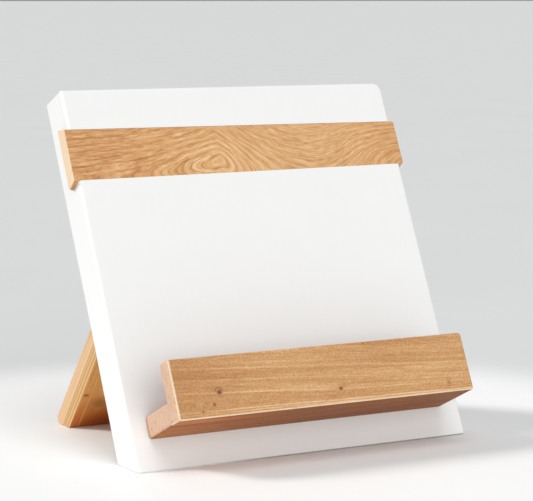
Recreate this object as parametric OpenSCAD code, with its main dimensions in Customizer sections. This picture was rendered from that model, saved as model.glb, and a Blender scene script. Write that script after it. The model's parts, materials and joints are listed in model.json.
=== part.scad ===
// Book display stand: a painted board that leans back, with an inlaid wooden band,
// an L-shaped ledge for the book and a hinged rear leg that folds flat. Millimetres.
//
// The origin is on the table, under the centre of the whole stand. +X is to the right
// of someone facing the board, +Y runs back from the board to the leg, and +Z is up.
//
// Two working frames are used. On the board, X runs across, Y runs into the board from
// its front face, and Z runs up the face from its front bottom edge. On the leg, X runs
// across, Y runs back from its front face, and Z runs up the face to its top corner.

/* [Board] */
// Width of the board
board_w = 254; // [220:1:330]
// Height of the board, measured up its sloping face
board_h = 265.4; // [255:1:340]
// Thickness of the board
board_t = 28.8; // [24:0.1:34]
// Angle that the board leans back from upright
tilt = 25.1; // [20:0.1:30]
// Radius of the board's long rounded edges
edge_r = 2.3; // [1.5:0.1:5]
// Radius of the board's right corners, seen from the front
corner_r = 6; // [5.5:0.1:12]
// Radius of the board's left corners, seen from the front
left_corner_r = 2.6; // [2.5:0.1:12]
// Radius of the board's bottom edges, front and back
bottom_r = 0.7; // [0.5:0.1:2]

/* [Band] */
// Height of the band's centre line up the board's face
band_centre = 218.5; // [190:0.5:230]
// Height of the band at its left end
band_h_left = 36.3; // [25:0.1:40]
// Height of the band at its right end
band_h_right = 32.6; // [25:0.1:40]
// Thickness of the band, which is the depth of its groove
band_t = 10.5; // [6:0.1:12]
// How much the band's dovetail section widens towards its back, above and below
band_flare = 3.3; // [1:0.1:4]
// How far each end of the band stands proud of the board's side
band_overhang = 3.3; // [1:0.1:8]
// Size of the eased edge round the band
band_ease = 0.6; // [0.2:0.1:1]

/* [Ledge] */
// Width of the ledge
ledge_w = 226; // [210:1:300]
// How far the ledge sits from the board's middle; less than 0 is to the left
ledge_shift = -1.2; // [-3:0.1:3]
// Depth of the ledge, out from the board's face
ledge_depth = 45; // [38:0.5:60]
// Height of the ledge's underside up the board's face
ledge_up = 21.3; // [18:0.1:30]
// Thickness of the shelf
shelf_t = 15.4; // [12:0.1:18]
// Height of the lip, from the ledge's underside
lip_h = 40.6; // [30:0.1:50]
// Thickness of the lip
lip_t = 11.2; // [8:0.1:12]
// Size of the eased edge round the ledge
ledge_ease = 1.2; // [0.5:0.1:2]

/* [Ledge screws] */
// Distance between neighbouring ledge screws
ledge_screw_pitch = 80; // [60:1:90]
// Diameter of the counterbore behind each screw
counterbore_d = 9; // [8.6:0.1:11]
// Depth of the counterbore
counterbore_depth = 6; // [4:0.5:10]
// Diameter of the screw's head
ledge_head_d = 8; // [7:0.1:8.4]
// Diameter of the screw's shank
ledge_shank_d = 4; // [3.5:0.1:4.5]
// Length of the screw, with its head
ledge_screw_length = 45; // [40:1:50]

/* [Leg] */
// Width of the leg
leg_w = 207; // [170:1:220]
// Thickness of the leg
leg_t = 19; // [16:0.5:22]
// Angle between the board's back and the leg's front face, when the leg is open
leg_angle = 64; // [58:0.5:70]
// Height up the board's back where the leg's front face meets it
leg_joint_up = 121.5; // [100:0.5:150]
// Radius of the rounded corner at the back of the foot
foot_r = 4.4; // [1:0.1:6]
// Size of the eased edge at the leg's sides
leg_ease = 1; // [0.5:0.1:2]
// Gap between the leg's bevelled top and the board's back
stop_gap = 0.3; // [0.2:0.1:0.5]

/* [Hinges] */
// Distance from the middle of the stand to the middle of each hinge
hinge_x = 62; // [45:1:65]
// Length of a hinge along its pin
hinge_length = 38; // [30:1:50]
// Width of a leaf, from the pin's centre to its free edge
leaf_w = 16; // [14:0.5:20]
// Thickness of a leaf
leaf_t = 1.5; // [1.3:0.1:1.8]
// Diameter of the hinge pin
pin_d = 2.5; // [2.4:0.1:3]
// Number of knuckles, which alternate between the leaves
knuckle_count = 5; // [3:2:7]
// Distance between the two screws in a leaf
leaf_screw_pitch = 22; // [18:1:24]
// Diameter of a leaf screw's head
leaf_head_d = 5.2; // [4.8:0.1:5.6]
// Diameter of a leaf screw's shank
leaf_shank_d = 2.7; // [2.4:0.1:2.8]
// Length of a leaf screw, with its head
leaf_screw_length = 12; // [8:0.5:13]

/* [Hidden] */
$fn = 48;

// Small amounts that keep faces apart or carry a cut past a face
cut = 2;
fit_gap = 0.05;
knuckle_gap = 0.2;
leaf_under_head = 0.2;
arc_steps = 8;

// Proportions of the screws
cross_share = 0.56;
cross_width_share = 0.14;
cross_depth_share = 0.3;
tip_share = 1.1;
point_share = 0.1;
head_depth_share = 0.5;

// Ledge
lip_back = ledge_depth - lip_t;
ledge_screw_up = ledge_up + shelf_t / 2;
ledge_head_depth = ledge_head_d * head_depth_share;

// Leg: how far it leans from upright, and the length of its front face
leg_lean = leg_angle - tilt;
joint_y = leg_joint_up * sin(tilt) + board_t * cos(tilt);
joint_z = leg_joint_up * cos(tilt) - board_t * sin(tilt);
leg_length = joint_z / cos(leg_lean);

// Hinge: the knuckle touches both the board's back and the leg's front face
knuckle_r = pin_d / 2 + fit_gap + leaf_t;
pin_below_joint = knuckle_r / tan(leg_angle / 2);
leaf_screw_down = (leaf_w + knuckle_r) / 2;
knuckle_pitch = hinge_length / knuckle_count;
leaf_head_depth = leaf_t - leaf_under_head;

// Depth of the stand from its front bottom edge: forward to the ledge, back to the foot
front_reach = ledge_depth * cos(tilt) - (ledge_up + ledge_ease) * sin(tilt);
foot_corner_y = joint_y + joint_z * tan(leg_lean) + leg_t / cos(leg_lean);
back_reach = foot_corner_y + foot_r * (1 - 1 / tan((90 - leg_lean) / 2));
origin_y = (back_reach - front_reach) / 2;

// ---- Frames ----

// From the board's working frame to the stand's own frame
module on_board() {
    translate([0, -origin_y, 0])
        rotate([-tilt, 0, 0])
            children();
}

// From the leg's working frame to the stand's own frame
module on_leg() {
    translate([0, joint_y - origin_y, joint_z])
        rotate([leg_lean, 0, 0])
            children();
}

// From a hinge's frame, with the pin's centre at its origin, to the board's frame
module at_board_hinge(side) {
    translate([side * hinge_x, board_t + knuckle_r, leg_joint_up - pin_below_joint])
        children();
}

// The same for the leg's frame, where the leaf lies on the other side of the pin
module at_leg_hinge(side) {
    translate([side * hinge_x, -knuckle_r, -pin_below_joint])
        mirror([0, 1, 0])
            children();
}

// ---- Shared shapes ----

function arc_points(centre, r, from, to) =
    [for (i = [0:arc_steps])
        let (a = from + (to - from) * i / arc_steps)
        centre + r * [cos(a), sin(a)]];

// A flat outline in Y and Z, extruded along X about the middle
module extrude_x(length) {
    rotate([90, 0, 90])
        linear_extrude(length, center = true)
            children();
}

// A box centred in X, with all its edges eased
module eased_box(size, ease) {
    hull() {
        translate([-size.x / 2, ease, ease])
            cube([size.x, size.y - 2 * ease, size.z - 2 * ease]);
        translate([ease - size.x / 2, 0, ease])
            cube([size.x - 2 * ease, size.y, size.z - 2 * ease]);
        translate([ease - size.x / 2, ease, 0])
            cube([size.x - 2 * ease, size.y - 2 * ease, size.z]);
    }
}

// A countersunk wood screw along Z: its head's flat top is at Z = 0 and it points down
module wood_screw(head_d, shank_d, length, head_depth) {
    tip = shank_d * tip_share;
    difference() {
        union() {
            translate([0, 0, -head_depth])
                cylinder(h = head_depth, d1 = shank_d, d2 = head_d);
            translate([0, 0, tip - length])
                cylinder(h = length - tip - head_depth + fit_gap, d = shank_d);
            translate([0, 0, -length])
                cylinder(h = tip, d1 = shank_d * point_share, d2 = shank_d);
        }
        cross_recess(head_d);
    }
}

// The cross-shaped recess in a screw's head
module cross_recess(head_d) {
    long = head_d * cross_share;
    width = head_d * cross_width_share;
    depth = head_d * cross_depth_share * head_depth_share;
    for (turn = [0, 90])
        rotate([0, 0, turn])
            translate([-long / 2, -width / 2, -depth])
                cube([long, width, depth + cut]);
}

// ---- Board and band ----

// A disc of radius r standing on its rim, with rounded edges, for one corner of the board
module corner_disc(r) {
    flat_r = r - edge_r;
    translate([0, board_t, 0])
        rotate([90, 0, 0])
            rotate_extrude() {
                square([flat_r, board_t]);
                translate([0, edge_r])
                    square([r, board_t - 2 * edge_r]);
                translate([flat_r, edge_r])
                    intersection() {
                        circle(edge_r);
                        translate([0, -edge_r])
                            square(2 * edge_r);
                    }
                translate([flat_r, board_t - edge_r])
                    intersection() {
                        circle(edge_r);
                        translate([0, -edge_r])
                            square(2 * edge_r);
                    }
            }
}

// The slab before its bottom is cut, with its lower corners well below the table
module rounded_slab() {
    hull()
        for (side = [[-1, left_corner_r], [1, corner_r]], top = [-board_t, board_h - side[1]])
            translate([side[0] * (board_w / 2 - side[1]), 0, top])
                corner_disc(side[1], $fn = 32);
}

// Side outline of the board: the bottom is bevelled to stand flat on the table
module board_outline() {
    rise = board_t * tan(tilt);
    front_turn = bottom_r / tan((90 - tilt) / 2);
    back_turn = bottom_r / tan((90 + tilt) / 2);
    front_centre = [bottom_r, front_turn];
    back_centre = [board_t - bottom_r, rise + back_turn];
    polygon(concat(
        arc_points(front_centre, bottom_r, 180, 270 + tilt),
        arc_points(back_centre, bottom_r, 270 + tilt, 360),
        [[board_t, board_h + cut], [0, board_h + cut]]
    ));
}

// Corners of the band at a depth behind the board's face: a dovetail section that runs
// from end to end of the board and beyond
function band_corners(depth, inset) =
    let (
        half = board_w / 2 + band_overhang,
        fall = (band_h_left - band_h_right) / (4 * half),
        middle = (band_h_left + band_h_right) / 4 + band_flare * depth / band_t - inset,
        end = half - inset,
        left = middle + fall * end,
        right = middle - fall * end
    )
    [for (c = [[-end, -left], [end, -right], [end, right], [-end, left]])
        [c.x, depth, band_centre + c.y]];

// A closed solid between rings of four corners each, from the front one to the back one
module four_sided(rings) {
    last = 4 * (len(rings) - 1);
    polyhedron(
        points = [for (ring = rings) for (p = ring) p],
        faces = concat(
            [[3, 2, 1, 0], [last, last + 1, last + 2, last + 3]],
            [for (r = [0:len(rings) - 2]) for (i = [0:3])
                let (a = 4 * r + i, b = 4 * r + (i + 1) % 4)
                [a, b, b + 4, a + 4]]
        )
    );
}

module band_blank() {
    four_sided([
        band_corners(0, band_ease),
        band_corners(band_ease, 0),
        band_corners(band_t - band_ease, 0),
        band_corners(band_t, band_ease)
    ]);
}

// The groove is open to the front and to both sides
module band_groove() {
    four_sided([band_corners(-cut, 0), band_corners(band_t, 0)]);
}

module ledge_screw_places() {
    for (x = [-ledge_screw_pitch, 0, ledge_screw_pitch])
        translate([x, board_t - counterbore_depth, ledge_screw_up])
            rotate([-90, 0, 0])
                children();
}

module leaf_screw_places() {
    for (x = [-leaf_screw_pitch / 2, leaf_screw_pitch / 2])
        translate([x, leaf_t - knuckle_r, -leaf_screw_down])
            rotate([-90, 0, 0])
                children();
}

// Pilot holes for the two screws of one leaf
module leaf_pilot_holes() {
    leaf_screw_places()
        translate([0, 0, -leaf_screw_length - fit_gap])
            cylinder(h = leaf_screw_length, d = leaf_shank_d + 2 * fit_gap);
}

module board_panel() {
    color("whitesmoke")
        on_board()
            difference() {
                intersection() {
                    rounded_slab();
                    extrude_x(board_w + cut) board_outline();
                }
                band_groove();
                ledge_screw_places() {
                    cylinder(h = counterbore_depth + cut, d = counterbore_d);
                    translate([0, 0, -board_t])
                        cylinder(h = board_t + cut, d = ledge_shank_d + 4 * fit_gap);
                    translate([0, 0, -ledge_head_depth])
                        cylinder(h = ledge_head_depth, d1 = ledge_shank_d, d2 = ledge_head_d);
                }
                for (side = [-1, 1])
                    at_board_hinge(side) leaf_pilot_holes();
            }
}

module top_band() {
    color("peru")
        on_board()
            band_blank();
}

// ---- Ledge ----

// The whole ledge, glued up: the shelf's stock runs under the lip's place
module ledge_blank() {
    translate([ledge_shift, -ledge_depth, ledge_up]) {
        eased_box([ledge_w, ledge_depth, shelf_t], ledge_ease);
        eased_box([ledge_w, lip_t, lip_h], ledge_ease);
    }
}

module ledge_shelf() {
    color("burlywood")
        on_board()
            difference() {
                ledge_blank();
                translate([-ledge_w, -ledge_depth - cut, ledge_up - cut])
                    cube([2 * ledge_w, lip_t + cut, lip_h + 2 * cut]);
                ledge_screw_places()
                    translate([0, 0, -ledge_screw_length - fit_gap])
                        cylinder(h = ledge_screw_length, d = ledge_shank_d + 2 * fit_gap);
            }
}

module ledge_lip() {
    color("tan")
        on_board()
            difference() {
                ledge_blank();
                translate([-ledge_w, -lip_back, ledge_up - cut])
                    cube([2 * ledge_w, ledge_depth, lip_h + 2 * cut]);
            }
}

module ledge_screws() {
    color("silver")
        on_board()
            ledge_screw_places()
                wood_screw(ledge_head_d, ledge_shank_d, ledge_screw_length, ledge_head_depth);
}

// ---- Leg ----

// Side outline of the leg: both ends are cut on the slant, and the foot's back corner
// is rounded
module leg_outline() {
    slope = tan(leg_lean);
    heel_y = leg_t - foot_r;
    heel = [heel_y, foot_r / cos(leg_lean) - leg_length - heel_y * slope];
    top_drop = stop_gap / sin(leg_angle);
    polygon(concat(
        [[0, -leg_length]],
        arc_points(heel, foot_r, -90 - leg_lean, 0),
        [[leg_t, leg_t / tan(leg_angle) - top_drop], [0, -top_drop]]
    ));
}

module support_leg() {
    color("sandybrown")
        on_leg()
            difference() {
                hull() {
                    extrude_x(leg_w) offset(delta = -leg_ease) leg_outline();
                    extrude_x(leg_w - 2 * leg_ease) leg_outline();
                }
                for (side = [-1, 1])
                    at_leg_hinge(side) leaf_pilot_holes();
            }
}

// ---- Hinges ----

// One run of the hinge's length for each knuckle, shortened by a gap at each end
module knuckle_places(first) {
    for (i = [first:2:knuckle_count - 1])
        translate([-hinge_length / 2 + i * knuckle_pitch + knuckle_gap / 2, 0, 0])
            children();
}

// A leaf hangs down from the pin, with its outer face against the wood at -Y
module hinge_leaf(first_knuckle) {
    knuckle_l = knuckle_pitch - knuckle_gap;
    notch_l = knuckle_pitch + knuckle_gap;
    difference() {
        union() {
            translate([-hinge_length / 2, -knuckle_r, -leaf_w])
                cube([hinge_length, leaf_t, leaf_w]);
            knuckle_places(first_knuckle)
                rotate([0, 90, 0])
                    cylinder(h = knuckle_l, r = knuckle_r);
        }
        knuckle_places(1 - first_knuckle)
            translate([-knuckle_gap, -2 * knuckle_r, -knuckle_r - 2 * knuckle_gap])
                cube([notch_l, 4 * knuckle_r, 4 * knuckle_r]);
        translate([-hinge_length, 0, 0])
            rotate([0, 90, 0])
                cylinder(h = 2 * hinge_length, d = pin_d + 2 * fit_gap);
        leaf_screw_places() {
            translate([0, 0, -leaf_t - cut])
                cylinder(h = leaf_t + 2 * cut, d = leaf_shank_d + 2 * fit_gap);
            translate([0, 0, -leaf_head_depth])
                cylinder(
                    h = leaf_head_depth,
                    d1 = leaf_shank_d + 2 * fit_gap,
                    d2 = leaf_head_d + 2 * fit_gap
                );
        }
    }
}

module board_leaf(side) {
    color("goldenrod")
        on_board()
            at_board_hinge(side) hinge_leaf(0);
}

module leg_leaf(side) {
    color("darkgoldenrod")
        on_leg()
            at_leg_hinge(side) hinge_leaf(1);
}

module hinge_pin(side) {
    color("gold")
        on_board()
            at_board_hinge(side)
                rotate([0, 90, 0])
                    cylinder(h = hinge_length, d = pin_d, center = true);
}

module board_leaf_screws(side) {
    color("khaki")
        on_board()
            at_board_hinge(side)
                leaf_screw_places()
                    wood_screw(leaf_head_d, leaf_shank_d, leaf_screw_length, leaf_head_depth);
}

module leg_leaf_screws(side) {
    color("khaki")
        on_leg()
            at_leg_hinge(side)
                leaf_screw_places()
                    wood_screw(leaf_head_d, leaf_shank_d, leaf_screw_length, leaf_head_depth);
}

board_panel();
top_band();
ledge_shelf();
ledge_lip();
ledge_screws();
support_leg();
board_leaf(-1);  // left_board_leaf
leg_leaf(-1);  // left_leg_leaf
hinge_pin(-1);  // left_hinge_pin
board_leaf_screws(-1);  // left_board_leaf_screws
leg_leaf_screws(-1);  // left_leg_leaf_screws
board_leaf(1);  // right_board_leaf
leg_leaf(1);  // right_leg_leaf
hinge_pin(1);  // right_hinge_pin
board_leaf_screws(1);  // right_board_leaf_screws
leg_leaf_screws(1);  // right_leg_leaf_screws
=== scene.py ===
import json
import math

import bmesh
import bpy
from mathutils import Matrix, Vector

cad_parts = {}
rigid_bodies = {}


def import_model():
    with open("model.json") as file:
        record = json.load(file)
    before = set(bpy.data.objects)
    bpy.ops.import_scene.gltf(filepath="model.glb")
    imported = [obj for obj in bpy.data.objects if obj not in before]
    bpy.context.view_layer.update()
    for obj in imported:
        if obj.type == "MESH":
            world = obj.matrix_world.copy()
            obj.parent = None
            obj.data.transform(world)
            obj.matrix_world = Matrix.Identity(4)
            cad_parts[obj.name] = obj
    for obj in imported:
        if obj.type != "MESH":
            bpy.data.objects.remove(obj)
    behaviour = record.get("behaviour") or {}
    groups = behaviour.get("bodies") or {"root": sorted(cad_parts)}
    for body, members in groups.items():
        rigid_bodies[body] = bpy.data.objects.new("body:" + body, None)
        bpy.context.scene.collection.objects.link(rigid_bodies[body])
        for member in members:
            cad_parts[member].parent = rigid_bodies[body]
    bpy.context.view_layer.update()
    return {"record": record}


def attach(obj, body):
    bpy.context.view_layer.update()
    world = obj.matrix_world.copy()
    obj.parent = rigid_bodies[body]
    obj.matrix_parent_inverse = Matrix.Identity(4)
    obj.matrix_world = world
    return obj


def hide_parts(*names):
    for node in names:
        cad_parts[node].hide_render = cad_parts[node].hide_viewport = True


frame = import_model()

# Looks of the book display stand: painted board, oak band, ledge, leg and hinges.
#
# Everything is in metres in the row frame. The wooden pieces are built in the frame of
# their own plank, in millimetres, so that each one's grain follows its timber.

record = frame["record"]
scene = bpy.context.scene

MM = 0.001
ARC_STEPS = 8
TURN_STEPS = 48
SHARP_ANGLE = math.radians(35)
RELIEF_DEPTH = 0.1 * MM


# ---- Working frames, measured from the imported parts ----

def plank_frame(angle, origin=(0, 0, 0)):
    """Axes of a sloping plank: X across, Y into it from its front face, Z up the face."""
    c, s = math.cos(angle), math.sin(angle)
    turn = Matrix(((1, 0, 0, 0), (0, c, s, 0), (0, -s, c, 0), (0, 0, 0, 1)))
    return Matrix.Translation(origin) @ turn


def span(node, placed):
    """Lowest and highest corner of a CAD node in a working frame, in millimetres."""
    inverse = placed.inverted()
    points = [inverse @ v.co / MM for v in bpy.data.objects[node].data.vertices]
    low = Vector([min(p[i] for p in points) for i in range(3)])
    high = Vector([max(p[i] for p in points) for i in range(3)])
    return low, high


shelf_up = next(m for m in record["mounts"] if m["name"] == "shelf_face")["axis"]
fold = next(j for j in record["behaviour"]["joints"] if j["name"] == "leg_fold")
tilt = math.atan2(shelf_up[1], shelf_up[2])
lean = math.radians(fold["range_deg"][1]) - tilt

# The board's origin is where its front face meets the table
face_y = span("board_panel", plank_frame(tilt))[0].y * MM
on_board = plank_frame(tilt, (0, face_y / math.cos(tilt), 0))

# The leg's origin is at the top of its front face
leg_low, leg_high = span("support_leg", plank_frame(-lean))
bevel_rise = (leg_high.y - leg_low.y) / math.tan(tilt + lean)
leg_top = Vector((0, leg_low.y, leg_high.z - bevel_rise)) * MM
on_leg = plank_frame(-lean, plank_frame(-lean) @ leg_top)


# ---- Solids ----

def offset_corners(corners, inset):
    """The same outline, pulled in by an even amount. A corner is (a, b, radius)."""
    count = len(corners)
    area = sum(corners[i - 1][0] * corners[i][1] - corners[i][0] * corners[i - 1][1]
               for i in range(count))
    moved = []
    for i, (a, b, radius) in enumerate(corners):
        here = Vector((a, b))
        back = (Vector(corners[i - 1][:2]) - here).normalized()
        on = (Vector(corners[(i + 1) % count][:2]) - here).normalized()
        convex = (on.x * back.y - on.y * back.x) * area > 0
        half = back.angle(on) / 2
        reach = inset / math.sin(half) * (1 if convex else -1)
        spot = here + (back + on).normalized() * reach
        if radius:
            radius = max(radius - inset, 0) if convex else radius + inset
        moved.append((spot.x, spot.y, radius))
    return moved


def rounded(corners, rounds):
    """Points round an outline, with an arc at each corner that has a radius."""
    points = []
    for i, (a, b, radius) in enumerate(corners):
        here = Vector((a, b))
        if not rounds[i]:
            points.append(here)
            continue
        back = (Vector(corners[i - 1][:2]) - here).normalized()
        on = (Vector(corners[(i + 1) % len(corners)][:2]) - here).normalized()
        half = back.angle(on) / 2
        centre = here + (back + on).normalized() * radius / math.sin(half)
        first = here + back * radius / math.tan(half) - centre
        last = here + on * radius / math.tan(half) - centre
        sweep = math.pi - 2 * half
        for k in range(ARC_STEPS + 1):
            t = k / ARC_STEPS
            near = math.sin((1 - t) * sweep) / math.sin(sweep)
            far = math.sin(t * sweep) / math.sin(sweep)
            points.append(centre + first * near + last * far)
    return points


def plank(section, axis, low, high, ease, ease_steps=4, far_ease=None):
    """A solid run along X or Y, with both its end faces' edges eased.

    section is an outline's corners, or a function that gives them at a place along it.
    far_ease is the high end's radius, where it isn't the same as the low end's.
    """
    section_at = section if callable(section) else lambda at: section
    rounds = [corner[2] > 0 for corner in section_at(low)]
    far_ease = ease if far_ease is None else far_ease
    turns = [math.pi / 2 * k / ease_steps for k in range(ease_steps + 1)]
    stations = [(low + ease * (1 - math.cos(t)), ease * (1 - math.sin(t))) for t in turns]
    stations += [(high - far_ease * (1 - math.cos(t)), far_ease * (1 - math.sin(t)))
                 for t in reversed(turns)]

    bm = bmesh.new()
    loops = []
    for at, inset in stations:
        outline = rounded(offset_corners(section_at(at), inset), rounds)
        if axis == "X":
            loops.append([bm.verts.new((at, p.x, p.y)) for p in outline])
        else:
            loops.append([bm.verts.new((p.x, at, p.y)) for p in outline])
    for one, two in zip(loops, loops[1:]):
        for i in range(len(one)):
            bm.faces.new((one[i - 1], one[i], two[i], two[i - 1]))
    bm.faces.new(loops[0])
    bm.faces.new(list(reversed(loops[-1])))
    tidy(bm)
    return bm


def tidy(bm):
    bmesh.ops.remove_doubles(bm, verts=bm.verts, dist=0.001)
    bmesh.ops.dissolve_degenerate(bm, edges=bm.edges, dist=0.0005)
    bmesh.ops.recalc_face_normals(bm, faces=bm.faces)


def slice_off(bm, point, normal, ease):
    """Removes what lies on the normal's side of a plane, and chamfers the new edges."""
    geometry = bm.verts[:] + bm.edges[:] + bm.faces[:]
    cut = bmesh.ops.bisect_plane(bm, geom=geometry, plane_co=point, plane_no=normal,
                                 clear_outer=True)
    rim = [e for e in cut["geom_cut"] if isinstance(e, bmesh.types.BMEdge)]
    cap = bmesh.ops.edgeloop_fill(bm, edges=rim)["faces"]
    rim = list({e for face in cap for e in face.edges})
    bmesh.ops.bevel(bm, geom=rim, offset=ease, segments=1, profile=0.5,
                    affect="EDGES", clamp_overlap=False)
    tidy(bm)


def solid(name, bm, placed):
    """An object from a solid in a plank's millimetres."""
    bmesh.ops.transform(bm, matrix=placed @ Matrix.Scale(MM, 4), verts=bm.verts)
    mesh = bpy.data.meshes.new(name)
    bm.to_mesh(mesh)
    bm.free()
    piece = bpy.data.objects.new(name, mesh)
    scene.collection.objects.link(piece)
    return piece


def finish_piece(piece, body, node):
    """Makes an object a piece of the stand, in place of a CAD node."""
    smooth(piece)
    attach(piece, body)
    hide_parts(node)


def smooth(piece):
    mesh = piece.data
    mesh.shade_smooth()
    mesh.set_sharp_from_angle(angle=SHARP_ANGLE)
    normals = piece.modifiers.new("even_normals", "WEIGHTED_NORMAL")
    normals.keep_sharp = True
    normals.weight = 100


def carve(piece, cutters):
    """Takes the cutters' shapes out of a piece, and removes them."""
    for cutter in cutters:
        step = piece.modifiers.new("carve", "BOOLEAN")
        step.operation = "DIFFERENCE"
        step.solver = "EXACT"
        step.object = cutter
    bpy.context.view_layer.update()
    shaped = piece.evaluated_get(bpy.context.evaluated_depsgraph_get())
    piece.data = bpy.data.meshes.new_from_object(shaped)
    piece.modifiers.clear()
    for cutter in cutters:
        bpy.data.objects.remove(cutter)


def turned(profile):
    """A solid turned about Y through the origin, from (radius, y) points."""
    bm = bmesh.new()
    loops = []
    for radius, at in profile:
        ring = []
        for k in range(TURN_STEPS):
            turn = 2 * math.pi * k / TURN_STEPS
            ring.append(bm.verts.new((radius * math.cos(turn), at, radius * math.sin(turn))))
        loops.append(ring)
    for one, two in zip(loops, loops[1:]):
        for i in range(TURN_STEPS):
            bm.faces.new((one[i - 1], one[i], two[i], two[i - 1]))
    bm.faces.new(loops[0])
    bm.faces.new(list(reversed(loops[-1])))
    tidy(bm)
    return bm


# ---- Shaders ----

class Shader:
    """One material's node tree. Each method adds nodes and returns an output socket."""

    def __init__(self, name, placed=Matrix.Identity(4)):
        self.material = bpy.data.materials.new(name)
        self.material.use_nodes = True
        self.tree = self.material.node_tree
        self.surface = self.tree.nodes["Principled BSDF"]
        self.coordinates = self.tree.nodes.new("ShaderNodeTexCoord")
        # Position in the plank's own frame, in millimetres
        frame_node = self.tree.nodes.new("ShaderNodeMapping")
        frame_node.vector_type = "TEXTURE"
        frame_node.inputs["Location"].default_value = placed.translation
        frame_node.inputs["Rotation"].default_value = placed.to_euler()
        frame_node.inputs["Scale"].default_value = (MM, MM, MM)
        self.feed(frame_node.inputs["Vector"], self.coordinates.outputs["Object"])
        self.place = frame_node.outputs[0]
        self.x, self.y, self.z = self.parts(self.place)

    def feed(self, socket, value):
        if isinstance(value, bpy.types.NodeSocket):
            self.tree.links.new(value, socket)
        else:
            socket.default_value = value

    def math(self, operation, a, b=0.0):
        node = self.tree.nodes.new("ShaderNodeMath")
        node.operation = operation
        for socket, value in zip(node.inputs, (a, b)):
            self.feed(socket, value)
        return node.outputs[0]

    def add(self, first, *others):
        for other in others:
            first = self.math("ADD", first, other)
        return first

    def times(self, a, b):
        return self.math("MULTIPLY", a, b)

    def vector(self, operation, a, b=(0, 0, 0)):
        node = self.tree.nodes.new("ShaderNodeVectorMath")
        node.operation = operation
        self.feed(node.inputs[0], a)
        self.feed(node.inputs[1], b)
        return node.outputs[1 if operation in ("DOT_PRODUCT", "LENGTH") else 0]

    def parts(self, vector):
        node = self.tree.nodes.new("ShaderNodeSeparateXYZ")
        self.feed(node.inputs[0], vector)
        return node.outputs[0], node.outputs[1], node.outputs[2]

    def joined(self, x, y, z):
        node = self.tree.nodes.new("ShaderNodeCombineXYZ")
        for socket, value in zip(node.inputs, (x, y, z)):
            self.feed(socket, value)
        return node.outputs[0]

    def noise(self, at, stretch=(1, 1, 1), detail=2.0, roughness=0.5, distortion=0.0):
        """Noise of about 0 to 1. stretch is how many cells there are in a millimetre."""
        node = self.tree.nodes.new("ShaderNodeTexNoise")
        self.feed(node.inputs["Vector"], self.vector("MULTIPLY", at, stretch))
        node.inputs["Scale"].default_value = 1.0
        node.inputs["Detail"].default_value = detail
        node.inputs["Roughness"].default_value = roughness
        node.inputs["Distortion"].default_value = distortion
        return node.outputs["Fac"]

    def swing(self, noise, size):
        """Noise made to run from about -size to +size."""
        return self.times(self.math("SUBTRACT", noise, 0.5), 2 * size)

    def between(self, value, low, high, start=0.0, end=1.0):
        """Smooth step from start at low to end at high."""
        node = self.tree.nodes.new("ShaderNodeMapRange")
        node.interpolation_type = "SMOOTHSTEP"
        for socket, item in zip(node.inputs, (value, low, high, start, end)):
            self.feed(socket, item)
        return node.outputs[0]

    def hill(self, at, centre, spread):
        """1 at the centre, and falling away smoothly over the spread along each axis."""
        away = self.vector("SUBTRACT", at, centre)
        away = self.vector("MULTIPLY", away, [1 / s if s else 0 for s in spread])
        return self.math("EXPONENT", self.times(self.vector("DOT_PRODUCT", away, away), -0.5))

    def ramp(self, value, *stops):
        """A value or colour that changes smoothly with another value."""
        node = self.tree.nodes.new("ShaderNodeValToRGB")
        self.feed(node.inputs[0], value)
        points = node.color_ramp.elements
        while len(points) < len(stops):
            points.new(0.5)
        for point, (at, tone) in zip(points, stops):
            point.position = at
            point.color = (*tone, 1) if isinstance(tone, tuple) else (tone, tone, tone, 1)
        return node.outputs[0]

    def mix(self, factor, a, b, blend="MIX"):
        node = self.tree.nodes.new("ShaderNodeMix")
        node.data_type = "RGBA"
        node.blend_type = blend
        for socket, value in ((node.inputs[0], factor), (node.inputs[6], a),
                              (node.inputs[7], b)):
            self.feed(socket, (*value, 1) if isinstance(value, tuple) else value)
        return node.outputs[2]

    def facing(self, axis):
        """1 where the surface faces along one of the piece's own axes, otherwise 0."""
        square = self.parts(self.coordinates.outputs["Normal"])[axis]
        return self.between(self.math("ABSOLUTE", square), 0.55, 0.8)

    def paint(self, colour, roughness, height, strength):
        """Sets the surface's colour, roughness and relief."""
        self.feed(self.surface.inputs["Base Color"], colour)
        self.feed(self.surface.inputs["Roughness"], roughness)
        relief = self.tree.nodes.new("ShaderNodeBump")
        self.feed(relief.inputs["Height"], height)
        relief.inputs["Strength"].default_value = strength
        relief.inputs["Distance"].default_value = RELIEF_DEPTH
        self.feed(self.surface.inputs["Normal"], relief.outputs["Normal"])
        return self.material


def knots(shader, at, places):
    """Small knots: (x, z, width, height, strength). Returns how dark each point is."""
    total = 0.0
    for x, z, width, height, strength in places:
        spot = shader.hill(at, (x, 0, z), (width, 0, height))
        total = shader.add(shader.times(spot, strength), total)
    return total


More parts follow.
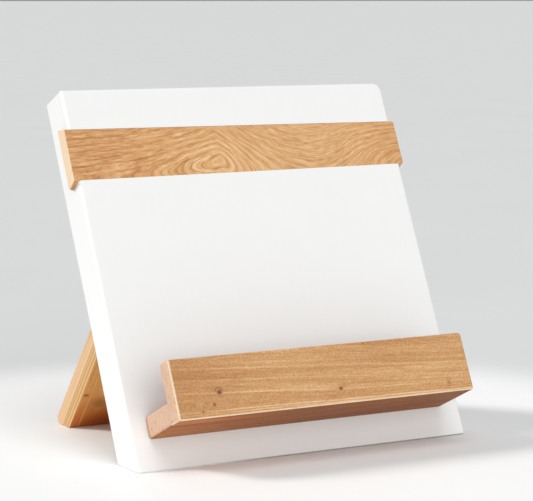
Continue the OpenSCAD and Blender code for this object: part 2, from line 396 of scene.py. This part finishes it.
def band_oak():
    """Oak with a closed eye left of the middle and fanned grain towards the right end."""
    s = Shader("band_oak", on_board)
    s.surface.inputs["Specular IOR Level"].default_value = 0.35
    # Rings close round an eye with a peaked top, long to the left and steep to the right
    eye_x, eye_z, eye_core = -17, 210.5, 6
    left_reach, right_reach = 50, 30
    beside = s.math("SUBTRACT", s.x, eye_x)
    left = s.math("MAXIMUM", s.times(beside, -1 / left_reach), 0)
    left = s.times(s.math("TANH", left), left_reach)
    right = s.math("MAXIMUM", s.times(beside, 1 / right_reach), 0)
    right = s.times(s.math("TANH", right), right_reach)
    fall = s.add(s.times(left, 0.2), s.times(right, 0.6))
    spread = s.add(s.times(left, 0.3), s.times(right, 0.85))
    wave = s.swing(s.noise(s.place, (0.025, 0.03, 0.07), 2), 2.4)
    ripple = s.swing(s.noise(s.place, (0.09, 0.1, 0.2), 3), 1.1)
    up = s.add(s.z, -eye_z, fall, wave, ripple, s.times(s.y, 0.9))
    closed = s.math("SQRT", s.add(s.times(up, up), s.times(spread, spread), eye_core ** 2))
    # Further right they sink into a valley, then fan upwards
    valley = s.times(s.hill(s.place, (56, 0, 213), (24, 0, 17)), 6)
    fan = s.times(s.hill(s.place, (134, 0, 204), (26, 0, 17)), -17)
    ring = s.add(closed, valley, fan)
    grain = s.joined(s.x, s.y, ring)

    # Growth rings, each with a porous dark edge
    ring_pitch = 3.6
    phase = s.math("FRACT", s.times(ring, 1 / ring_pitch))
    rings = s.ramp(phase, (0.0, 0.15), (0.08, 0.0), (0.24, 0.6), (0.6, 0.95), (1.0, 0.15))
    ring_strength = s.between(s.noise(grain, (0.012, 0.1, 0.14), 2), 0.3, 0.7, 0.05, 0.3)
    in_eye = s.hill(s.place, (-20, 0, 210), (20, 0, 10))
    ring_strength = s.add(ring_strength, s.times(in_eye, 0.42))
    streaks = s.noise(grain, (0.035, 0.6, 0.9), 5, 0.65)
    fine = s.noise(grain, (0.12, 1.3, 2.0), 4, 0.65)
    pores = s.between(s.noise(grain, (0.14, 1.5, 1.7), 3, 0.6), 0.58, 0.70)

    level = s.add(s.times(s.swing(rings, 0.5), ring_strength), s.swing(streaks, 0.78),
                  s.swing(fine, 0.95), s.times(in_eye, 0.12), 0.5)
    tone = s.ramp(level, (0.0, (0.42, 0.18, 0.055)), (0.35, (0.60, 0.30, 0.11)),
                  (0.62, (0.73, 0.42, 0.185)), (1.0, (0.87, 0.60, 0.33)))
    tone = s.mix(s.times(pores, 0.6), tone, (0.36, 0.145, 0.045))
    # Darker towards both ends, and paler right of the middle
    darker_left = s.between(s.x, -20, -120, 0.0, 0.22)
    tone = s.mix(darker_left, tone, (0.60, 0.28, 0.10), "MULTIPLY")
    darker_right = s.between(s.x, 95, 130, 0.0, 0.14)
    tone = s.mix(darker_right, tone, (0.60, 0.34, 0.16), "MULTIPLY")
    paler = s.hill(s.place, (55, 0, 0), (38, 0, 0))
    tone = s.mix(s.times(paler, 0.1), tone, (0.86, 0.62, 0.42))
    red_spot = s.hill(s.place, (-82.5, 0, 206.5), (2.2, 0, 1.6))
    tone = s.mix(s.times(red_spot, 0.6), tone, (0.47, 0.15, 0.055))

    # End grain: pale, with the rings on edge and open pores
    end_pores = s.between(s.noise(s.place, (1.2, 1.6, 1.6), 3), 0.6, 0.72)
    end = s.ramp(s.add(s.times(rings, 0.5), s.swing(end_pores, 0.12), 0.2),
                 (0.0, (0.80, 0.58, 0.38)), (1.0, (0.92, 0.76, 0.57)))
    colour = s.mix(s.facing(0), tone, end)

    roughness = s.between(fine, 0.2, 0.8, 0.52, 0.4)
    height = s.add(s.times(fine, 0.5), s.times(streaks, 0.4), s.times(pores, -0.6))
    return s.paint(colour, roughness, height, 0.35)


def fine_wood(name, places, halo, slant, tones, light_lines, under_shade_tones, edges=None):
    """Fine-grained wood along X, with thin light lines, mottling and small knots.

    halo is the dark arc over the main knot: (x, z, radius). slant is how much the upper
    grain rises along X. light_lines are (height, strength, width). edges is the lower left
    front corner of the wood and the tone of its arrises, partly wear and partly painted
    highlight.
    """
    s = Shader(name, on_board)
    # 1 where the surface faces down, otherwise 0
    below = s.between(s.parts(s.coordinates.outputs["Normal"])[2], -0.5, -0.75)
    s.feed(s.surface.inputs["Specular IOR Level"], s.between(below, 0, 1, 0.3, 0.08))
    roughen = s.swing(s.noise(s.place, (0.5, 0.5, 0.5), 2), 0.7)
    near = s.joined(s.add(s.x, roughen), s.y, s.add(s.z, roughen))
    marks = knots(s, near, places)
    centre_x, centre_z, halo_r = halo
    off_x, _, off_z = s.parts(s.vector("SUBTRACT", near, (centre_x, 0, centre_z)))
    off_r = s.vector("LENGTH", s.joined(off_x, 0.0, off_z))
    from_arc = s.math("POWER", s.add(off_r, -halo_r), 2)
    arc = s.times(s.math("EXPONENT", s.times(from_arc, -4.5)), s.between(off_z, -0.5, 1.0))
    slope = s.times(s.x, s.between(s.z, 26, 34, slant * 0.2, slant))
    wave = s.swing(s.noise(s.place, (0.008, 0.02, 0.03), 2), 1.2)
    height_lines = s.add(s.z, slope, wave, s.times(marks, 1.8))
    ring = s.add(height_lines, s.times(s.y, 0.35))
    grain = s.joined(s.x, s.y, ring)

    broad = s.noise(grain, (0.006, 0.07, 0.11), 3, 0.5)
    streaks = s.noise(grain, (0.014, 0.5, 0.65), 4, 0.6)
    fine = s.noise(grain, (0.16, 1.3, 1.4), 4, 0.7)
    mottle = s.noise(s.place, (0.62, 0.8, 0.72), 4, 0.8)
    speckle = s.times(s.swing(mottle, 0.95), s.between(below, 0, 1, 1, 0.35))
    level = s.add(s.swing(broad, 0.45), s.swing(streaks, 0.5), s.swing(fine, 0.5),
                  speckle, 0.51)
    tone = s.ramp(level, (0.0, tones[0]), (0.4, tones[1]), (0.66, tones[2]), (1.0, tones[3]))

    # Thin light lines along the grain, fainter towards the left end
    lines = 0.0
    for at, strength, width in light_lines:
        line = s.hill(s.joined(0.0, 0.0, height_lines), (0, 0, at), (0, 0, width))
        lines = s.add(s.times(line, strength), lines)
    lines = s.times(lines, s.between(fine, 0.25, 0.6, 0.35, 1.0))
    lines = s.times(lines, s.between(s.x, -112, -50, 0.35, 1.0))
    tone = s.mix(s.times(lines, s.between(below, 0, 1, 1, 0)), tone, (0.90, 0.66, 0.40))

    left_end = s.times(s.between(s.x, -20, -110), s.between(s.z, 25, 50, 0.5, 1.0))
    tone = s.mix(s.times(left_end, 0.25), tone, (0.60, 0.40, 0.28), "MULTIPLY")
    core = s.between(marks, 0.4, 1.0)
    tone = s.mix(s.math("MINIMUM", s.times(marks, 0.7), 0.85), tone, (0.40, 0.14, 0.065))
    tone = s.mix(s.times(core, 0.8), tone, (0.15, 0.05, 0.045))
    tone = s.mix(s.times(arc, 0.7), tone, (0.20, 0.085, 0.05))

    # Painted shade on the underside: redder and darker overall, most towards the right end, in
    # long streaks
    bands = s.noise(s.place, (0.01, 0.22, 0.22), 4, 0.65)
    under_shade = s.ramp(s.add(s.between(s.x, -113, 20), s.swing(bands, 1.1)),
                    (0.0, under_shade_tones[0]), (0.5, under_shade_tones[1]), (1.0, under_shade_tones[2]))
    tone = s.mix(below, tone, under_shade, "MULTIPLY")

    # End grain: peach, with a few brown specks and streaks along the lip's height
    specks = s.between(s.noise(s.place, (0.33, 0.33, 0.33), 1), 0.675, 0.725)
    thin = s.between(s.noise(s.place, (0.3, 0.8, 0.16), 2), 0.67, 0.74)
    end_streaks = s.add(s.times(s.noise(s.place, (0.3, 0.75, 0.2), 4, 0.7), 0.5),
                        s.times(mottle, 0.5))
    end = s.ramp(end_streaks, (0.3, (0.55, 0.32, 0.205)), (0.5, (0.645, 0.42, 0.285)),
                 (0.7, (0.73, 0.505, 0.365)))
    end = s.mix(s.times(specks, 0.75), end, (0.48, 0.17, 0.075))
    end = s.mix(s.times(thin, 0.5), end, (0.50, 0.24, 0.14))
    # Painted shade: a darker orange strip at the back of the end face, where it meets the board
    back_strip = s.between(s.y, -4.5, -1.5)
    end = s.mix(s.times(back_strip, 0.75), end, (0.58, 0.28, 0.12))
    colour = s.mix(s.facing(0), tone, end)

    # Partly wear and partly painted highlight: the front arrises are lightened
    if edges:
        corner, wear_highlight_tone = edges
        away = s.vector("SUBTRACT", s.place, corner)
        across, deep, high = s.parts(away)
        low_edge = s.hill(s.joined(0.0, deep, high), (0, 0.4, 0.4), (0, 0.38, 0.38))
        end_edge = s.hill(s.joined(across, deep, 0.0), (1.5, 0.3, 0), (0.45, 0.5, 0))
        foot_edge = s.hill(s.joined(across, 0.0, high), (0.5, 0, 0.5), (0.5, 0, 0.5))
        wear_and_highlight = s.math("MAXIMUM", s.math("MAXIMUM", low_edge, end_edge), foot_edge)
        wear_and_highlight = s.times(wear_and_highlight, s.between(fine, 0.2, 0.6, 0.55, 0.95))
        colour = s.mix(wear_and_highlight, colour, wear_highlight_tone)

    roughness = s.between(mottle, 0.25, 0.75, 0.55, 0.42)
    height = s.add(s.times(fine, 0.5), s.times(mottle, 0.5))
    return s.paint(colour, roughness, height, 0.25)


def leg_wood():
    """Darker tan plank, grain along its height, with a pale sapwood left edge."""
    s = Shader("leg_wood", on_leg)
    s.surface.inputs["Specular IOR Level"].default_value = 0.25
    knot = s.hill(s.place, (-99.8, 0, -91.4), (1.3, 6, 1.0))
    eye = s.hill(s.place, (-87.5, 0, -101), (5.5, 30, 4.0))
    wave = s.swing(s.noise(s.place, (0.03, 0.03, 0.008), 2), 2.4)
    ring = s.add(s.x, s.times(s.y, -0.5), wave, s.times(eye, -3.0), s.times(knot, 1.2))
    grain = s.joined(ring, s.y, s.z)
    broad = s.noise(grain, (0.07, 0.05, 0.006), 3)
    streaks = s.noise(grain, (0.5, 0.5, 0.014), 4, 0.55)
    fine = s.noise(grain, (1.5, 1.1, 0.05), 4, 0.6)
    mottle = s.noise(s.place, (1.0, 1.0, 0.9), 3, 0.65)
    level = s.add(s.swing(broad, 0.5), s.swing(streaks, 0.45), s.swing(fine, 0.35),
                  s.swing(mottle, 0.55), 0.5)
    tone = s.ramp(level, (0.0, (0.54, 0.21, 0.05)), (0.4, (0.83, 0.40, 0.115)),
                  (0.66, (0.88, 0.46, 0.155)), (1.0, (0.96, 0.60, 0.26)))
    # Painted shade: the front face, in the shade of the board, is darkened towards the foot
    front = s.between(s.y, 5, 1.5)
    foot = s.times(s.between(s.z, -80, -118), front)
    tone = s.mix(foot, tone, (0.80, 0.52, 0.32), "MULTIPLY")
    # Painted contact shadow, deepest at the bottom of the foot and less at its left edge
    tip = s.times(s.between(s.z, -98, -124), s.between(s.x, -101, -82, 0.45, 1.0))
    tip = s.times(tip, front)
    tone = s.mix(tip, tone, (0.66, 0.42, 0.27), "MULTIPLY")
    # A light line down the grain, and a light arc under the eye
    line_x = s.add(s.x, s.times(s.z, -0.021))
    line = s.hill(s.joined(line_x, 0.0, 0.0), (-94.2, 0, 0), (0.4, 0, 0))
    tone = s.mix(s.times(line, s.times(front, 0.45)), tone, (0.90, 0.60, 0.26))
    arc = s.add(s.z, s.times(s.math("POWER", s.math("ABSOLUTE", s.add(s.x, 85.5)), 2), -0.07))
    under_eye = s.times(s.hill(s.joined(s.x, 0.0, arc), (-86, 0, -107), (6, 0, 0.7)), 0.25)
    tone = s.mix(s.times(under_eye, front), tone, (0.88, 0.56, 0.28))
    tone = s.mix(s.times(eye, s.times(front, 0.6)), tone, (0.36, 0.12, 0.03))
    tone = s.mix(s.times(knot, 0.85), tone, (0.14, 0.05, 0.03))

    # The left edge: pale wood behind, and yellower stripes near the front face
    across = s.add(s.y, s.swing(s.noise(s.place, (0.05, 0.05, 0.012), 2), 1.4))
    stripes = s.noise(s.joined(s.x, across, s.z), (0.2, 0.75, 0.012), 3, 0.55)
    specks = s.noise(s.place, (0.8, 0.9, 0.5), 3, 0.6)
    stripes = s.add(stripes, s.swing(specks, 0.12))
    stripe_pitch = 3.1
    striped = s.times(s.add(across, s.swing(stripes, 1.6)), 1 / stripe_pitch)
    front_stripes = s.ramp(s.math("FRACT", striped),
                           (0.0, (0.84, 0.57, 0.27)), (0.3, (0.81, 0.53, 0.24)),
                           (0.55, (0.63, 0.335, 0.12)), (0.78, (0.66, 0.37, 0.14)))
    pale = s.ramp(stripes, (0.3, (0.76, 0.46, 0.235)), (0.6, (0.87, 0.58, 0.34)))
    side = s.mix(s.between(across, 7.5, 9.5), front_stripes, pale)
    # Painted highlight: a lighter strip along the side face's front arris
    side = s.mix(s.between(s.y, 1.3, 0.5), side, (0.92, 0.68, 0.38))
    greyer = (0.88, 0.88, 0.86)
    side = s.mix(1.0, side, greyer, "MULTIPLY")
    colour = s.mix(s.facing(0), tone, side)

    roughness = s.between(mottle, 0.25, 0.75, 0.52, 0.42)
    height = s.add(s.times(fine, 0.5), s.times(mottle, 0.5))
    return s.paint(colour, roughness, height, 0.25)


def white_paint():
    """Satin white paint, rolled on: a faint orange peel and slightly uneven gloss."""
    s = Shader("white_paint", on_board)
    peel = s.noise(s.place, (0.55, 0.55, 0.55), 3, 0.55)
    broad = s.noise(s.place, (0.012, 0.012, 0.02), 3)
    brush = s.noise(s.place, (0.6, 0.6, 0.03), 3)
    colour = s.ramp(s.add(s.times(broad, 0.7), s.times(brush, 0.3)),
                    (0.25, (0.87, 0.868, 0.857)), (0.75, (0.90, 0.899, 0.891)))
    # Painted contact shadow: the bottom arris, where it meets the table, is darkened grey, less
    # so towards the left
    up = s.add(s.times(s.z, math.cos(tilt)), s.times(s.y, -math.sin(tilt)))
    contact_shade = s.times(s.between(up, 1.15, 0.45), s.between(s.x, -95, -15, 0.1, 0.8))
    contact_shade = s.times(contact_shade, s.between(brush, 0.2, 0.5, 0.7, 1.0))
    colour = s.mix(contact_shade, colour, (0.16, 0.155, 0.15))
    roughness = s.between(s.add(s.times(peel, 0.5), s.times(broad, 0.5)), 0.3, 0.7, 0.46, 0.36)
    return s.paint(colour, roughness, s.add(peel, s.times(brush, 0.4)), 0.08)


def metal(name, tones, base_roughness, lines):
    """Rolled or drawn metal: fine lines one way, with soft stains and small scratches."""
    s = Shader(name)
    s.surface.inputs["Metallic"].default_value = 1.0
    stain = s.noise(s.place, (0.14, 0.14, 0.14), 4, 0.6)
    drawn = s.noise(s.place, lines, 3, 0.6)
    scratches = s.between(s.noise(s.place, (0.9, 0.3, 3.5), 2, 0.5, 1.5), 0.66, 0.72)
    colour = s.ramp(s.add(s.times(stain, 0.75), s.times(drawn, 0.25)),
                    (0.3, tones[0]), (0.5, tones[1]), (0.75, tones[2]))
    roughness = s.add(s.between(stain, 0.3, 0.7, base_roughness + 0.12, base_roughness - 0.05),
                      s.times(drawn, 0.08))
    return s.paint(colour, roughness, s.add(drawn, s.times(scratches, -0.7)), 0.12)


def floor_finish():
    """A plain pale floor that falls off softly to light grey away from the stand."""
    s = Shader("pale_floor")
    s.surface.inputs["Specular IOR Level"].default_value = 0.2
    away = s.vector("LENGTH", s.place)
    soft = s.noise(s.place, (0.004, 0.004, 0.004), 3)
    reach = s.add(away, s.swing(soft, 30))
    near_tone, far_tone = (0.915, 0.92, 0.92), (0.69, 0.705, 0.705)
    colour = s.ramp(s.between(reach, 245, 370), (0.0, near_tone), (1.0, far_tone))
    return s.paint(colour, s.between(soft, 0.2, 0.8, 0.5, 0.6), soft, 0.02)


# ---- Board ----

board_low, board_high = span("board_panel", on_board)
board_t = board_high.y
front_edge_r, back_edge_r, bottom_chamfer = 2.3, 4.2, 1.0
left_corner_r, right_corner_r = 1.3, 6.0

# It starts below the table, which then cuts its bottom level
bm = plank([(board_low.x, -board_t, left_corner_r), (board_high.x, -board_t, right_corner_r),
            (board_high.x, board_high.z, right_corner_r),
            (board_low.x, board_high.z, left_corner_r)],
           "Y", 0, board_t, front_edge_r, ARC_STEPS, back_edge_r)
slice_off(bm, (0, 0, 0), (0, math.sin(tilt), -math.cos(tilt)), bottom_chamfer)
board = solid("painted_board", bm, on_board)

# The band: its left end is taller, its right corners are rounder, and its section is a
# dovetail that widens towards the back
band_low, band_high = span("top_band", on_board)
band_middle = (band_low.z + band_high.z) / 2
band_t = band_high.y
half_left, half_right, flare = 18.15, 16.3, 3.3
band_ease = 0.45
overrun = 3
sharp = 0.001


def band_section(left_r, right_r, worn_r=0):
    """The band's outline at a depth. worn_r rounds its lower left tip towards the back."""
    def corners(depth):
        grow = flare * depth / band_t
        left, right = half_left + grow, half_right + grow
        return [(band_low.x, band_middle - left, left_r + worn_r * depth / band_t),
                (band_high.x, band_middle - right, right_r),
                (band_high.x, band_middle + right, right_r),
                (band_low.x, band_middle + left, left_r)]
    return corners


groove = solid("groove", plank(band_section(0, 0), "Y", -overrun, band_t, sharp, 1),
               on_board)

# Counterbores behind the ledge screws, with a small chamfer at the mouth
head_low, head_high = span("ledge_screws", on_board)
screw_up = (head_low.z + head_high.z) / 2
head_r, bore_r, chamfer = 4, 4.5, 0.4
bores = []
for x in (head_low.x + head_r, 0, head_high.x - head_r):
    bm = turned([(bore_r, head_high.y), (bore_r, board_t - chamfer),
                 (bore_r + 2 * chamfer, board_t + chamfer),
                 (bore_r + 2 * chamfer, board_t + overrun)])
    bores.append(solid("bore", bm, on_board @ Matrix.Translation((x * MM, 0, screw_up * MM))))
carve(board, [groove] + bores)
finish_piece(board, "board", "board_panel")

band = solid("oak_band", plank(band_section(0.5, 1.6, 2.2), "Y", 0, band_t, band_ease, 3),
             on_board)
finish_piece(band, "board", "top_band")


# ---- Ledge: one L-shaped section, parted along the joint between lip and shelf ----

shelf_high = span("ledge_shelf", on_board)[1]
lip_low, lip_high = span("ledge_lip", on_board)
ledge_ease, end_ease = 1.6, 2.2
lip_top_front_r, lip_top_back_r = 2.2, 3.0
glue_line = 0.12


def ledge_part(name, side):
    """One part of the ledge: in front of the joint where side is 1, behind it where -1."""
    section = [(lip_low.y, lip_low.z, ledge_ease), (0, lip_low.z, ledge_ease),
               (0, shelf_high.z, ledge_ease), (lip_high.y, shelf_high.z, 0),
               (lip_high.y, lip_high.z, lip_top_back_r),
               (lip_low.y, lip_high.z, lip_top_front_r)]
    bm = plank(section, "X", lip_low.x, lip_high.x, end_ease, 6)
    slice_off(bm, (0, lip_high.y, 0), (0, side, 0), glue_line)
    return solid(name, bm, on_board)


lip = ledge_part("ledge_lip_board", 1)
finish_piece(lip, "board", "ledge_lip")
shelf = ledge_part("ledge_shelf_board", -1)
finish_piece(shelf, "board", "ledge_shelf")


# ---- Leg ----

leg_low, leg_high = span("support_leg", on_leg)
leg_t = leg_high.y
foot = -on_leg.translation.z / math.cos(lean) / MM
leg_ease = 1.0
foot_front_r, foot_back_r, top_back_r, top_front_r = 0.7, 4.4, 0.8, 0.6
leg_section = [(0, foot, foot_front_r), (leg_t, foot - leg_t * math.tan(lean), foot_back_r),
               (leg_t, leg_high.z, top_back_r), (0, leg_high.z - bevel_rise, top_front_r)]
leg = solid("leg_board", plank(leg_section, "X", leg_low.x, leg_high.x, leg_ease), on_leg)
finish_piece(leg, "leg", "support_leg")


# ---- Materials ----

lip_tones = ((0.41, 0.185, 0.07), (0.54, 0.275, 0.11), (0.62, 0.345, 0.15),
             (0.75, 0.48, 0.24))
# Painted shade on the lip's underside, darkest towards the right end
lip_under_shade = ((0.95, 0.62, 0.48), (0.62, 0.40, 0.27), (0.46, 0.29, 0.2))
lip_knots = [(-81.4, 37.4, 1.2, 1.1, 1.15), (-80.6, 35.2, 1.4, 1.8, 0.4),
             (-86.5, 29.7, 1.1, 1.5, 0.85), (-95.5, 25.4, 0.9, 0.9, 0.8),
             (7.9, 31.4, 1.5, 1.3, 1.0), (11.3, 33.3, 1.3, 1.2, 0.45),
             (1.2, 26.3, 1.6, 1.2, 0.45), (92.5, 27.7, 1.1, 1.8, 0.65),
             (32.5, 60.2, 0.7, 0.6, 0.9)]
lip_lines = [(56.0, 0.1, 0.3), (48.0, 0.28, 0.3), (40.3, 0.28, 0.3), (31.7, 0.5, 0.3),
             (24.4, 0.75, 0.3), (22.9, 0.4, 0.25)]
# Lower left front corner of the lip and its arris tone: partly wear, partly painted highlight
lip_wear_and_highlight = (lip_low, (0.94, 0.80, 0.60))
shelf_tones = ((0.24, 0.085, 0.03), (0.36, 0.135, 0.047), (0.43, 0.18, 0.07),
               (0.55, 0.28, 0.13))
# Painted shade on the shelf's underside, darkest towards the right end
shelf_under_shade = ((1.0, 0.9, 0.7), (0.95, 0.8, 0.55), (0.72, 0.58, 0.42))

board.data.materials.append(white_paint())
band.data.materials.append(band_oak())
lip.data.materials.append(fine_wood("lip_wood", lip_knots, (-81.6, 37.5, 2.8), 0.062,
                                    lip_tones, lip_lines, lip_under_shade, lip_wear_and_highlight))
shelf.data.materials.append(fine_wood("shelf_wood", [(60, 36, 1.2, 1.0, 0.6)], (60, 36, 2.5),
                                      -0.02, shelf_tones, [(12.5, 0.4, 0.35)], shelf_under_shade))
leg.data.materials.append(leg_wood())

brass_tones = ((0.58, 0.42, 0.19), (0.74, 0.56, 0.27), (0.84, 0.68, 0.38))
brass = metal("hinge_brass", brass_tones, 0.3, (0.05, 3.0, 3.0))
pin_brass = metal("hinge_pin_brass", brass_tones, 0.24, (0.05, 4.0, 4.0))
screw_brass = metal("screw_brass", ((0.55, 0.39, 0.17), (0.72, 0.54, 0.26), (0.82, 0.66, 0.36)),
                    0.26, (2.0, 2.0, 2.0))
screw_steel = metal("screw_steel", ((0.46, 0.47, 0.47), (0.60, 0.60, 0.59), (0.70, 0.70, 0.68)),
                    0.3, (2.0, 2.0, 2.0))

finishes = {"hinge_brass": brass, "hinge_pin_brass": pin_brass,
            "screw_brass": screw_brass, "screw_steel": screw_steel}
for part in record["subparts"]:
    if part["material_slot"] in finishes:
        node = bpy.data.objects[part["node"]]
        if not node.material_slots:
            node.data.materials.append(finishes[part["material_slot"]])
        for material_slot in node.material_slots:
            material_slot.material = finishes[part["material_slot"]]


# ---- Floor, light and camera ----

def floor_piece(size):
    """A flat floor, this many metres from its middle to each side."""
    bm = bmesh.new()
    bmesh.ops.create_grid(bm, x_segments=8, y_segments=8, size=size)
    mesh = bpy.data.meshes.new("floor")
    bm.to_mesh(mesh)
    bm.free()
    floor = bpy.data.objects.new("floor", mesh)
    scene.collection.objects.link(floor)
    floor.data.materials.append(floor_finish())


def soft_light(name, place, softness, strength, tint):
    """A parallel light from the direction of a place. softness is its width in degrees."""
    data = bpy.data.lights.new(name, "SUN")
    data.angle = math.radians(softness)
    data.energy = strength
    data.color = tint
    light = bpy.data.objects.new(name, data)
    scene.collection.objects.link(light)
    light.location = place
    light.rotation_euler = (-Vector(place)).to_track_quat("-Z", "Y").to_euler()


warm, neutral = (1.0, 0.985, 0.965), (1.0, 0.998, 0.99)
floor_piece(400.0)
soft_light("key", (-1.55, 0.85, 1.2), 14, 2.07, warm)
soft_light("top", (-0.2, -0.9, 2.0), 40, 1.08, neutral)
soft_light("front", (-0.15, -1.77, 0.35), 60, 1.54, neutral)

world = bpy.data.worlds.new("studio")
scene.world = world
world.use_nodes = True
backdrop = world.node_tree.nodes["Background"]
backdrop.inputs["Color"].default_value = (0.95, 0.97, 1.0, 1)
backdrop.inputs["Strength"].default_value = 0.3

look_down, look_right = 6.711, 29.794
camera_data = bpy.data.cameras.new("camera")
camera_data.sensor_width = 36
camera_data.lens = 144.03
camera_data.clip_end = 1000
camera = bpy.data.objects.new("camera", camera_data)
scene.collection.objects.link(camera)
camera.location = (-0.71783, on_board.translation.y - 1.19685, 0.30026)
camera.rotation_euler = (math.radians(90 - look_down), 0, math.radians(-look_right))
scene.camera = camera
scene.view_settings.view_transform = "Standard"
